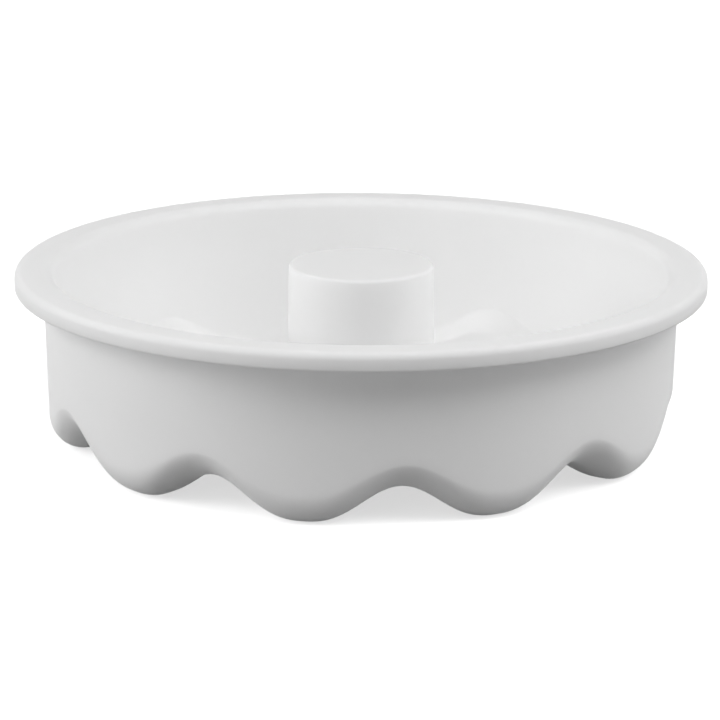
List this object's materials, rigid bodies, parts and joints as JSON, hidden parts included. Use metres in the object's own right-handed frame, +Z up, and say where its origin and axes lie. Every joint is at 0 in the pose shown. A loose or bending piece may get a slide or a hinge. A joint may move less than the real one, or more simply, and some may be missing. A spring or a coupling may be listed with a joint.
{
  "type": "silicone mousse cake mould",
  "caption": "White silicone ring mousse cake mould with a wide flat rim, lobed bottom and central column, rim stiffened by a steel wire ring.",
  "frame": {"origin": "on the surface the mould stands on, on the column's axis", "axes": "+Z up along the column's axis, out of the mouth; -Y through the middle of one lobe, +X to its right"},
  "size_m": [0.225, 0.225, 0.0578],
  "materials": {
    "white_silicone": "satin",
    "stainless_steel": "satin"
  },
  "bodies": {
    "root": {"mould_body": "white_silicone", "rim_stiffening_ring": "stainless_steel"}
  },
  "joints": []
}
